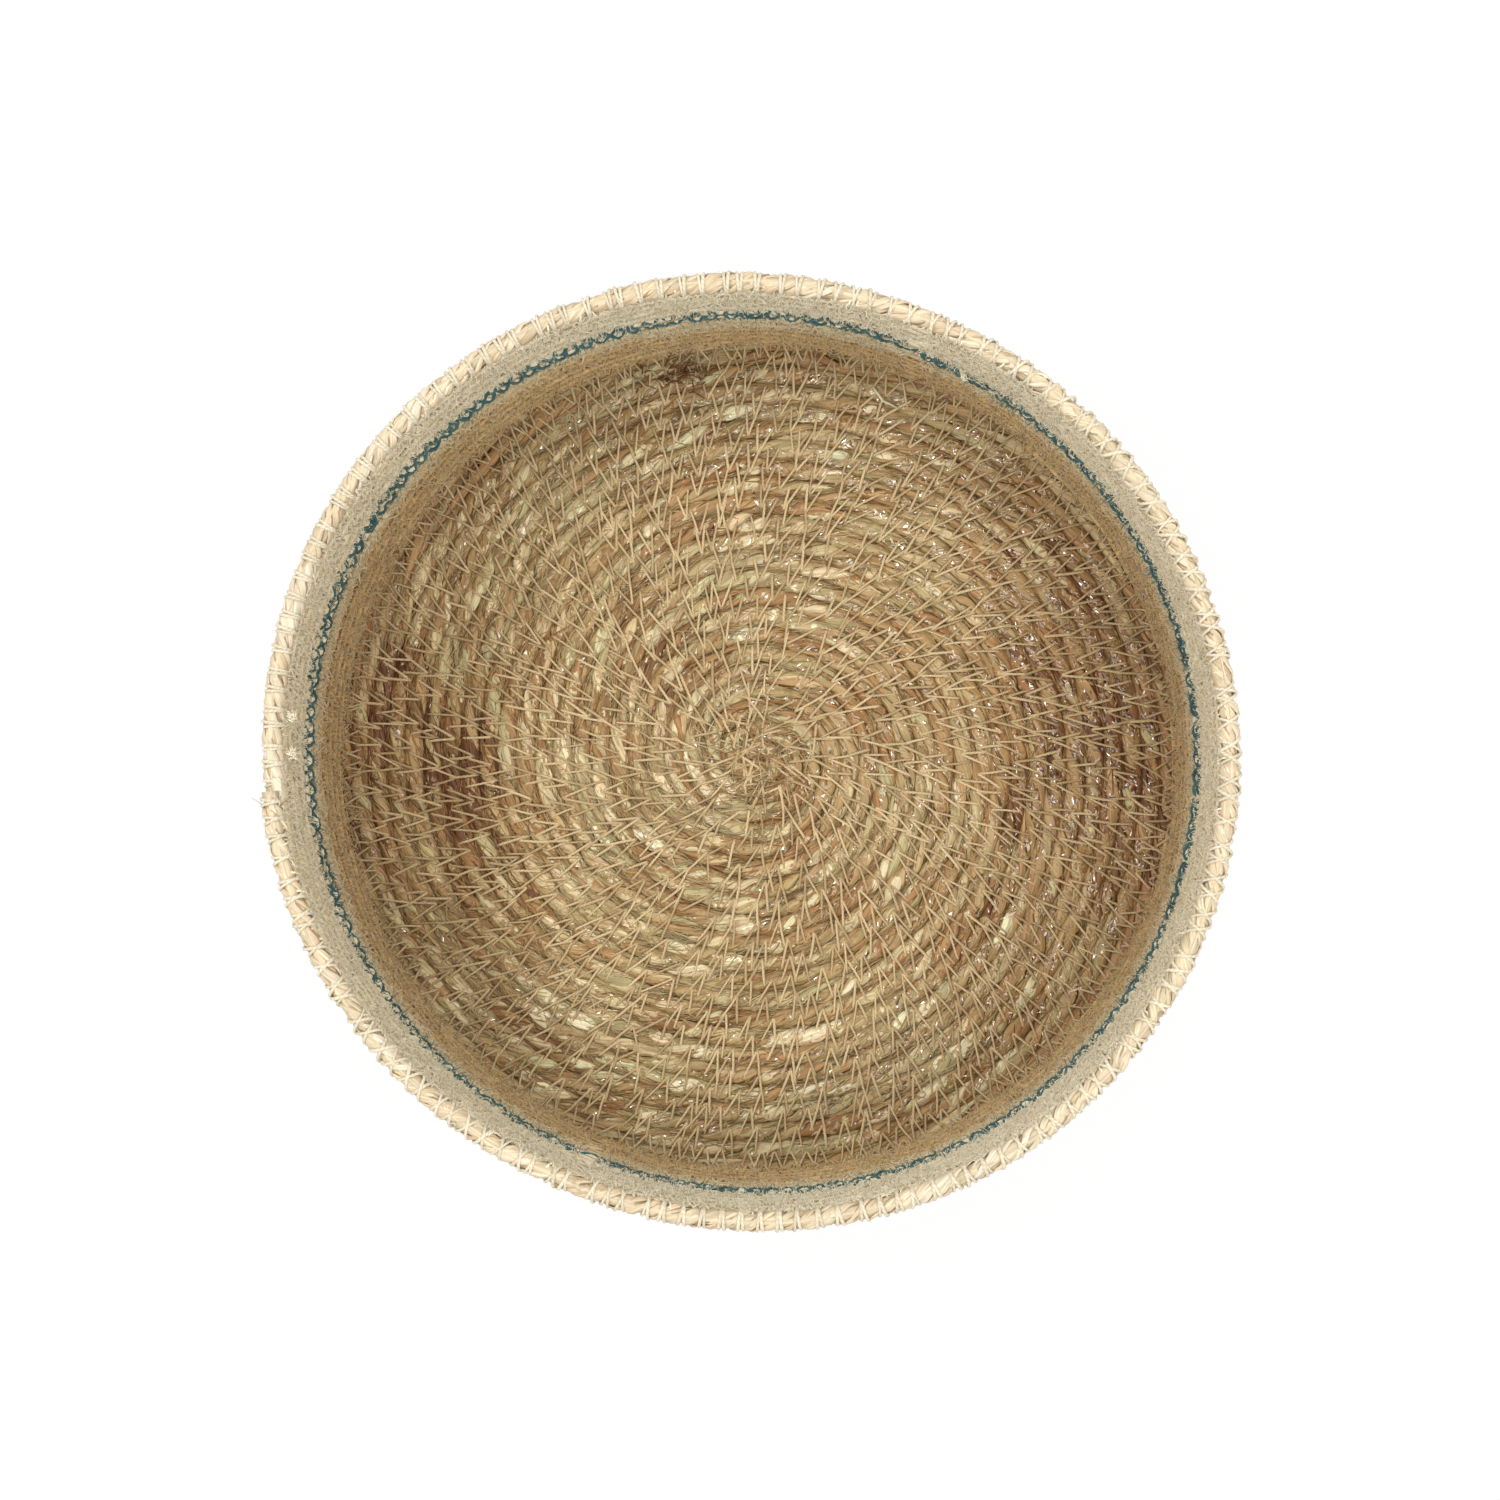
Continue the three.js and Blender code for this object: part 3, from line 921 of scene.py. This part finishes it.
def dress(bundle, name, material, node, flat=False):
    """Builds a piece that stands for a node of the solids."""
    piece = bundle.build(name, material, flat)
    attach(piece, "root")
    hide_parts(node)


# Tones go partly by chance and partly in runs along the rope. Single leaves lie mostly on one side.
RUN_LENGTH = 13 * MM
RUN_SHARE = 0.54
FAVOUR_MEAN, FAVOUR_SWING = 0.55, 0.45
MOST_TONE = 0.96


class RopePieces:
    """One rope made as one piece, or as several that are split at lengths along the rope."""

    def __init__(self, rope, seed, painted_light_swing=0.0, splits=()):
        self.rope = rope
        self.painted_light_swing = painted_light_swing
        self.splits = np.array(splits)
        self.bundles = [TubeBundle() for _ in range(len(splits) + 1)]
        self.rng = np.random.default_rng(seed)
        self.runs = self.rng.random(int(rope.winding.total / RUN_LENGTH) + 2)

    def share(self, rings, middles, tone):
        owner = np.searchsorted(self.splits, middles)
        seed = self.rng.random(len(middles))
        for number, bundle in enumerate(self.bundles):
            chosen = owner == number
            if chosen.any():
                bundle.add(rings[chosen], tone[chosen], seed[chosen])

    def add_core(self, step):
        rings, middles = self.rope.core(step)
        self.share(rings, middles, np.full(len(middles), CORE_TONE))

    def add_laid(self, leaves, tones):
        for rings, middles in leaves.laid(self.rope, self.rng):
            self.share(rings, middles, self.tones(middles, tones))

    def add_scattered(self, kind, count, tones, favoured):
        """Adds single leaves or fibres, most of them towards one side of the basket."""
        rings, middles = kind.scattered(self.rope, count, self.rng)
        turns = self.rope.winding.turns_at(middles)
        likely = FAVOUR_MEAN + FAVOUR_SWING * np.cos(direction(turns) - favoured)
        kept = self.rng.random(count) < likely
        self.share(rings[kept], middles[kept], self.tones(middles[kept], tones))

    def tones(self, middles, tones):
        low, high = tones
        chance = self.rng.random(len(middles))
        runs = np.interp(middles / RUN_LENGTH, np.arange(len(self.runs)), self.runs)
        tone = low + (high - low) * (RUN_SHARE * runs + (1 - RUN_SHARE) * chance)
        # Painted light and shade: the tone is lightened or darkened by its direction from the middle
        side = leaf_painted_light_and_shade(self.rope.winding.turns_at(middles))
        return np.clip(tone + self.painted_light_swing * side, 0, MOST_TONE)


# Turns at which ropes start and overlap, and at which the base is split into pieces
SPIRAL_START = -0.12
SPLICE = 0.012
RIM_LAP = 0.004
BASE_SPLITS = (9.4, 13.4, 16.4, 19.0)
SHINY_START = 14.5

# Ropes' half width, half height and squareness
BASE_SECTION = (3.45 * MM, 2.75 * MM, 2.5)
WALL_SECTION = (3.3 * MM, 2.7 * MM, 2.4)
RIM_SECTION = (3.2 * MM, 2.9 * MM, 2.0)
CORE_STEP, RIM_CORE_STEP = 60 * MM, 40 * MM

base_winding = Winding(SPIRAL_START, BASE_END + SPLICE)
shiny_winding = Winding(SHINY_START, BASE_END)
lower_winding = Winding(BASE_END - SPLICE, LOWER_WALL_END + SPLICE)
pale_winding = Winding(LOWER_WALL_END, UPPER_WALL_END)
rim_winding = Winding(UPPER_WALL_END - RIM_LAP, RIM_END + RIM_LAP)

BASE_THREAD = Thread(
    radius=0.48 * MM, sides=5, spacing=8.2 * MM, chance=0.19,
    across=(-0.3, 1.28), leans=(4.6 * MM, -0.5 * MM),
)
WALL_THREAD = Thread(
    radius=0.4 * MM, sides=4, spacing=5.6 * MM, chance=0.25,
    across=(-0.2, 1.2), leans=(3.4 * MM, -2.6 * MM),
)
BLUE_THREAD = Thread(
    radius=0.6 * MM, sides=5, spacing=5.4 * MM, chance=0.15,
    across=(0.05, 0.95), leans=(2.7 * MM, -2.7 * MM),
    weights=(1.18, 1.12, 0.95, 1.25, 0.92, 0.86, 1.0, 1.18),
)
SEAM_CREST = 2.75 * MM
UNDERSIDE_CREST = 1.75 * MM
INNER_SIDE, OUTER_SIDE = 1, -1

base_seam = Seam(BASE_THREAD, FIRST_SEAM, BASE_SEAM_END, np.random.default_rng(21))

HEART_RADIUS = 7 * MM
HEART_TOP = 3.6 * MM
HEART_SPAN = (0.08, 0.92)
HEART_RINGS = 7
HEART_SIDES = 10
HEART_SEED = 0.5


def add_heart(bundle):
    """The knot of fibres at the middle of the base, as one flattened lump under the first turns."""
    part = np.linspace(*HEART_SPAN, HEART_RINGS)[:, None, None]
    angle = circle(HEART_SIDES)
    spokes = np.stack([np.cos(angle), -np.sin(angle), 0 * angle], -1)
    radius = HEART_RADIUS * np.sin(pi * part) ** 0.5
    height = GROUND_CLEARANCE + (HEART_TOP - GROUND_CLEARANCE) * part
    rings = origin_shift + spokes * radius + UP * height
    bundle.add(rings[None], [CORE_TONE], [HEART_SEED])


# Fibres that lie flat across the middle of the base
ALL_WAYS = (0.0, 0.0, 0.0)
TANGLE_HEIGHT = BASE_HEIGHT + 3.0 * MM
TANGLE = Tuft(
    size=(10 * MM, 10 * MM, 0.2 * MM), course=ALL_WAYS, spread=(1.0, 1.0, 0.08),
    lengths=(3 * MM, 12 * MM), radius=0.22 * MM, tones=(0.15, 0.85), count=260,
)

# Bits of straw and a dark twig that lie on the base: place, course, length, radius and tones
STRAW_TONES, TWIG_TONES = (0.95, 1.0), (0.0, 0.0)
STRAWS = (
    ((0.040, 0.1265, 0.0063), (1.0, -0.85, 0.0), 11.5 * MM, 0.45 * MM, STRAW_TONES),
    ((0.058, 0.0430, 0.0058), (0.9, -0.45, 0.1), 13.5 * MM, 0.18 * MM, STRAW_TONES),
    ((-0.007, 0.0460, 0.0058), (0.8, 0.6, 0.1), 8.0 * MM, 0.18 * MM, STRAW_TONES),
    ((-0.0255, 0.1315, 0.0066), (0.4, 0.45, 0.94), 11.0 * MM, 0.35 * MM, TWIG_TONES),
)

# Dark fibres at the foot of the wall, and tufts of lint
DARK_PLACE = (-0.0270, 0.1315, 0.0074)
DARK_TUFT = Tuft(
    size=(6.5 * MM, 2.0 * MM, 0.5 * MM), course=(1.0, 0.4, 0.0), spread=0.6,
    lengths=(3 * MM, 8 * MM), radius=0.3 * MM, tones=(0.0, 0.14), count=42,
)
BASE_LINT_PLACE = (0.0432, -0.0118, 0.0062)
BASE_LINT_TONES = (1.0, 1.0)
WALL_LINT_PLACES = (
    (-0.1437, 0.0103, 0.0880),
    (-0.1433, -0.0009, 0.0880),
    (0.0690, 0.1210, 0.0640),
)
WALL_LINT_TONES = (1.5, 2.0)


def lint(tones):
    return Tuft(
        size=(0.5 * MM, 0.9 * MM, 0.6 * MM), course=ALL_WAYS, spread=1.0,
        lengths=(0.6 * MM, 1.5 * MM), radius=0.2 * MM, tones=tones, count=50,
    )


def add_loose_bits(bundle):
    rng = np.random.default_rng(41)
    for place, course, length, radius, tones in STRAWS:
        Tuft(0.0, course, 0.0, (length, length), radius, tones).add(bundle, place, rng)
    DARK_TUFT.add(bundle, DARK_PLACE, rng)
    lint(BASE_LINT_TONES).add(bundle, BASE_LINT_PLACE, rng)


def slants(mean, spread):
    return radians(mean), radians(spread)


PALE_SIDE = radians(200)
SHINY_SIDE = radians(25)
# Painted light and shade: how far leaf tones are lightened and darkened by direction
PAINTED_LIGHT_SWING = 0.36
SLIVER_SPLIT = 0.55

# How leaves and fibres lie to the rope: the mean and the spread of their slant
TWISTED = slants(-15, 6)
WALL_TWISTED = slants(-12, 5)
RIM_TWISTED = slants(-30, 6)
LOOSE = slants(-12, 22)

# Leaves by rope, and how many single ones are tried
FINE = Leaves(
    length=24 * MM, width=2.9 * MM, thickness=0.34 * MM, ring_count=20, proud=0.12 * MM,
    slant=TWISTED, spread=radians(150), strips=5,
)
BROAD = Leaves(
    length=45 * MM, width=3.4 * MM, thickness=0.42 * MM, ring_count=11, proud=0.1 * MM,
    slant=TWISTED, spread=radians(215), strips=5, middle_angle=OUTSIDE,
)
PATCH = Leaves(
    length=18 * MM, width=3.0 * MM, thickness=0.42 * MM, ring_count=14, proud=0.14 * MM,
    slant=TWISTED, spread=radians(70),
)
SLIVER = Leaves(
    length=2.2 * MM, width=0.9 * MM, thickness=0.15 * MM, ring_count=3, proud=0.3 * MM,
    slant=LOOSE, spread=radians(90),
)
LOWER_WALL = Leaves(
    length=40 * MM, width=2.9 * MM, thickness=0.42 * MM, ring_count=12, proud=0.13 * MM,
    slant=TWISTED, strips=9,
)
UPPER_WALL = Leaves(
    length=50 * MM, width=2.9 * MM, thickness=0.45 * MM, ring_count=13, proud=0.12 * MM,
    slant=WALL_TWISTED, strips=8,
)
RIM_STRAW = Leaves(
    length=26 * MM, width=3.5 * MM, thickness=0.45 * MM, ring_count=22, proud=0.1 * MM,
    slant=RIM_TWISTED, strips=7,
)
FIBRE = Fibres(length=11 * MM, radius=0.2 * MM, spread=radians(150), slant=LOOSE, lift=0.3 * MM)
PATCHES, LOOSE_FIBRES, SLIVERS, OUTER_SLIVERS = 1150, 18000, 20000, 12500

# The range of tones of each kind
BASE_TONES, WALL_TONES, ALL_TONES = (0.0, 0.85), (0.0, 0.9), (0.0, 1.0)
PATCH_TONES, FIBRE_TONES, SLIVER_TONES = (0.66, 1.0), (0.05, 0.95), (0.1, 0.7)


def make_base():
    splits = np.interp(BASE_SPLITS, base_winding.turns, base_winding.lengths)
    rope = Rope(base_winding, *BASE_SECTION, base_seam)
    pieces = RopePieces(rope, seed=11, painted_light_swing=PAINTED_LIGHT_SWING, splits=splits)
    pieces.add_core(CORE_STEP)
    pieces.add_laid(FINE, BASE_TONES)
    pieces.add_laid(BROAD, BASE_TONES)
    pieces.add_scattered(PATCH, PATCHES, PATCH_TONES, PALE_SIDE)
    pieces.add_scattered(FIBRE, LOOSE_FIBRES, FIBRE_TONES, PALE_SIDE)
    add_heart(pieces.bundles[0])
    TANGLE.add(pieces.bundles[0], origin_shift + UP * TANGLE_HEIGHT, np.random.default_rng(17))
    add_loose_bits(pieces.bundles[-1])
    for number, bundle in enumerate(pieces.bundles):
        dress(bundle, f"base_coil_{number + 1}", seagrass, "base_coil")
    sliver_splits = [SLIVER_SPLIT * base_winding.total]
    slivers = RopePieces(rope, seed=14, painted_light_swing=PAINTED_LIGHT_SWING, splits=sliver_splits)
    slivers.add_scattered(SLIVER, SLIVERS, SLIVER_TONES, SHINY_SIDE)
    shiny_rope = Rope(shiny_winding, *BASE_SECTION, base_seam)
    outer_slivers = RopePieces(shiny_rope, seed=16, painted_light_swing=PAINTED_LIGHT_SWING)
    outer_slivers.add_scattered(SLIVER, OUTER_SLIVERS, SLIVER_TONES, SHINY_SIDE)
    for number, bundle in enumerate(slivers.bundles + outer_slivers.bundles):
        dress(bundle, f"base_slivers_{number + 1}", shiny_leaf, "base_coil", flat=True)


def make_wall_rope(winding, leaves, tones, material, part, seed, painted_light_swing=0.0):
    pieces = RopePieces(Rope(winding, *WALL_SECTION), seed, painted_light_swing)
    pieces.add_core(CORE_STEP)
    pieces.add_laid(leaves, tones)
    dress(pieces.bundles[0], part + "_rope", material, part + "_coil")


# The rim rope swells where the thread leaves it bare
OVERCAST_SPACING = 6.1 * MM
OVERCAST_SPREAD = 8 * MM
RIM_SWELL = 0.3 * MM


def make_rim():
    spacing = rim_winding.total / round(rim_winding.total / OVERCAST_SPACING)
    rope = Rope(rim_winding, *RIM_SECTION, swell=RIM_SWELL, swell_length=spacing)
    pieces = RopePieces(rope, seed=13)
    pieces.add_core(RIM_CORE_STEP)
    pieces.add_laid(RIM_STRAW, ALL_TONES)
    rng = np.random.default_rng(27)
    end, course, _, _ = stations(RIM_END - RIM_LAP)
    frayed = Tuft(
        size=1.3 * MM, course=course, spread=0.25, lengths=(3 * MM, 6 * MM), radius=0.3 * MM,
        tones=ALL_TONES, count=70,
    )
    frayed.add(pieces.bundles[0], end, rng)
    dress(pieces.bundles[0], "rim_rope", straw, "rim_coil")
    overcast = TubeBundle()
    add_overcast(overcast, rope, spacing, OVERCAST_SPREAD, rng)
    dress(overcast, "rim_overcast", white_thread, "rim_overcast_thread")


STAR_LEGS = 44
STAR_RADIUS = 12 * MM
STAR_SPREAD = 8 * MM
STAR_LENGTHS = (0.6, 1.0)
STAR_UNEVEN = 0.5 * MM


def add_star(bundle, thread, rng):
    """Stitches that cross over the start of the coil."""
    angle = rng.uniform(0, FULL_TURN, STAR_LEGS)
    outward = np.stack([np.cos(angle), np.sin(angle), 0 * angle], -1)
    start = rng.normal(0, STAR_SPREAD, (STAR_LEGS, 3)) * [1, 1, 0]
    length = rng.uniform(*STAR_LENGTHS, (STAR_LEGS, 1, 1)) * STAR_RADIUS
    base_top = BASE_HEIGHT + SEAM_CREST + rng.uniform(0, STAR_UNEVEN, (STAR_LEGS, 1, 1))
    line = origin_shift + start[:, None] + outward[:, None] * length * LEG_PARTS[:, None]
    points = line + UP * (base_top + LEG_HEIGHT[:, None])
    radii = np.full((STAR_LEGS, len(LEG_PARTS)), thread.radius)
    rings = round_tubes(points, radii, UP, thread.sides)
    bundle.add(rings, rng.random(STAR_LEGS), rng.random(STAR_LEGS))


def make_base_seam():
    rng = np.random.default_rng(22)
    inside, outside = TubeBundle(), TubeBundle()
    base_seam.add_legs(inside, SEAM_CREST, INNER_SIDE, rng)
    base_seam.add_legs(outside, UNDERSIDE_CREST, OUTER_SIDE, rng)
    add_star(inside, BASE_THREAD, rng)
    dress(inside, "base_stitches", tan_thread, "base_seam_thread")
    dress(outside, "underside_stitches", tan_thread, "base_seam_thread")


# The felt of one colour reaches a little past its own seam
FELT_START = BASE_SEAM_END + 1.3
NAP_START = BASE_SEAM_END + 0.9
NAP_CHANGE = LOWER_SEAM_END + 0.9
OUTSIDE_NAP_SHARE = 5
OUTSIDE_NAP_END = UPPER_WALL_END - 1.7
OUTSIDE_STITCH_END = UPPER_WALL_END - 1


def make_wall_seam(name, thread, yarn, matted, span, nap_span, felt_span, nap, seed, lint_places=()):
    rng = np.random.default_rng(seed)
    seam = Seam(thread, *span, rng)
    inside, outside, felt, fuzz = [TubeBundle() for _ in range(4)]
    seam.add_legs(inside, SEAM_CREST, INNER_SIDE, rng)
    seam.add_legs(outside, SEAM_CREST, OUTER_SIDE, rng, OUTSIDE_STITCH_END)
    nap_start, nap_end = nap_span
    outside_end = min(nap_end, OUTSIDE_NAP_END)
    add_nap(fuzz, nap_start, nap_end, SEAM_CREST, INNER_SIDE, nap, rng)
    add_nap(fuzz, nap_start, outside_end, SEAM_CREST, OUTER_SIDE, nap // OUTSIDE_NAP_SHARE, rng)
    for place in lint_places:
        lint(WALL_LINT_TONES).add(fuzz, place, rng)
    made = [(inside, "_stitches_inside", yarn), (outside, "_stitches_outside", yarn)]
    made.append((fuzz, "_nap", matted))
    if felt_span:
        add_felt(felt, *felt_span, SEAM_CREST, rng)
        made.append((felt, "_felt", matted))
    for bundle, ending, material in made:
        dress(bundle, name + ending, material, name + "_seam_thread")


def make_wall_seams():
    lower_nap, middle_nap = (NAP_START, NAP_CHANGE), (NAP_CHANGE, BLUE_START)
    blue, upper = (BLUE_START, BLUE_END), (BLUE_END, UPPER_WALL_END)
    make_wall_seam(
        "lower_wall", WALL_THREAD, tan_thread, brown_nap, (BASE_SEAM_END, LOWER_SEAM_END),
        lower_nap, (FELT_START, NAP_CHANGE), nap=20000, seed=31,
    )
    make_wall_seam(
        "middle", WALL_THREAD, oat_thread, oat_thread, (LOWER_SEAM_END, BLUE_START),
        middle_nap, middle_nap, nap=5000, seed=32,
    )
    make_wall_seam(
        "blue", BLUE_THREAD, blue_thread, blue_thread, blue, blue, None, nap=2200, seed=33
    )
    make_wall_seam(
        "upper", WALL_THREAD, cream_thread, cream_thread, upper, upper,
        (BLUE_START, UPPER_WALL_END), nap=20000, seed=34, lint_places=WALL_LINT_PLACES,
    )


make_base()
make_wall_rope(
    lower_winding, LOWER_WALL, WALL_TONES, seagrass, "lower_wall",
    seed=15, painted_light_swing=PAINTED_LIGHT_SWING,
)
make_wall_rope(
    pale_winding, UPPER_WALL, ALL_TONES, pale_seagrass, "upper_wall", seed=12
)
make_rim()
make_base_seam()
make_wall_seams()


# Floor, lights and camera

FLOOR_SIZE = 6.0
FLOOR_DROP = 0.2 * MM
FLOOR_GLOW = 0.93


def make_floor():
    """A white floor that shows as white and still keeps a soft shadow."""
    bpy.ops.mesh.primitive_plane_add(size=FLOOR_SIZE, location=(0, 0, -FLOOR_DROP))
    floor = bpy.context.active_object
    floor.name = "floor"
    nodes = Nodes(bpy.data.materials.new("floor"))
    nodes.join(nodes.shader, {"Base Color": grey(0.9), "Roughness": 0.9})
    white = nodes.add("ShaderNodeEmission", {"Color": grey(1.0), "Strength": 1.0})
    share = nodes.math("MULTIPLY", nodes.seen(), FLOOR_GLOW)
    shaders = {0: share, 1: nodes.shader.outputs[0], 2: white.outputs[0]}
    mixed = nodes.add("ShaderNodeMixShader", shaders)
    nodes.join(nodes.tree.nodes["Material Output"], {"Surface": mixed.outputs[0]})
    floor.data.materials.append(nodes.owner)


# Name, place, size and power
LAMPS = (
    ("overhead_lamp", (0.0, 0.0, 1.9), 1.7, 10),
    ("left_lamp", (-0.95, 0.3, 1.35), 0.3, 7.5),
    ("right_lamp", (0.95, -0.3, 1.35), 0.3, 5.5),
    ("back_lamp", (0.1, 0.8, 1.6), 0.4, 5.5),
    ("front_lamp", (-0.1, -0.8, 1.6), 0.4, 5.5),
)


def make_lamp(name, location, size, power):
    lamp = bpy.data.lights.new(name, "AREA")
    lamp.size = size
    lamp.energy = power
    lamp_object = bpy.data.objects.new(name, lamp)
    lamp_object.location = location
    lamp_object.rotation_euler = (-Vector(location)).to_track_quat("-Z", "Y").to_euler()
    bpy.context.scene.collection.objects.link(lamp_object)


WORLD_STRENGTH = 0.64


def make_world():
    """Even light all round, which itself shows as white."""
    nodes = Nodes(bpy.data.worlds.new("world"), "Background")
    strengths = {"Value": nodes.seen(), "To Min": WORLD_STRENGTH, "To Max": 1.0}
    strength = nodes.add("ShaderNodeMapRange", strengths)
    nodes.join(nodes.shader, {"Color": grey(1.0), "Strength": strength.outputs["Result"]})
    bpy.context.scene.world = nodes.owner


# The photograph's camera: above the mouth and a little to one side of it
RIM_HEIGHT = 93 * MM
CAMERA_RISE = 900 * MM
CAMERA_OFFSET = Vector((38 * MM, -28 * MM, 0))
CAMERA_AIM = Vector((1.35 * MM, -0.45 * MM, RIM_HEIGHT))
HALF_FRAME = 233.4 * MM
SENSOR_WIDTH = 36


def make_camera():
    camera = bpy.data.cameras.new("camera")
    camera.sensor_width = SENSOR_WIDTH
    camera.lens = SENSOR_WIDTH / 2 * CAMERA_RISE / HALF_FRAME
    camera_object = bpy.data.objects.new("camera", camera)
    location = Vector((0, 0, RIM_HEIGHT + CAMERA_RISE)) + CAMERA_OFFSET
    back = (location - CAMERA_AIM).normalized()
    right = Vector((0, 1, 0)).cross(back).normalized()
    turned = Matrix((right, back.cross(right), back)).transposed()
    camera_object.matrix_world = Matrix.LocRotScale(location, turned.to_quaternion(), None)
    bpy.context.scene.collection.objects.link(camera_object)
    bpy.context.scene.camera = camera_object


make_floor()
for lamp in LAMPS:
    make_lamp(*lamp)
make_camera()
make_world()
bpy.context.scene.view_settings.view_transform = "Standard"
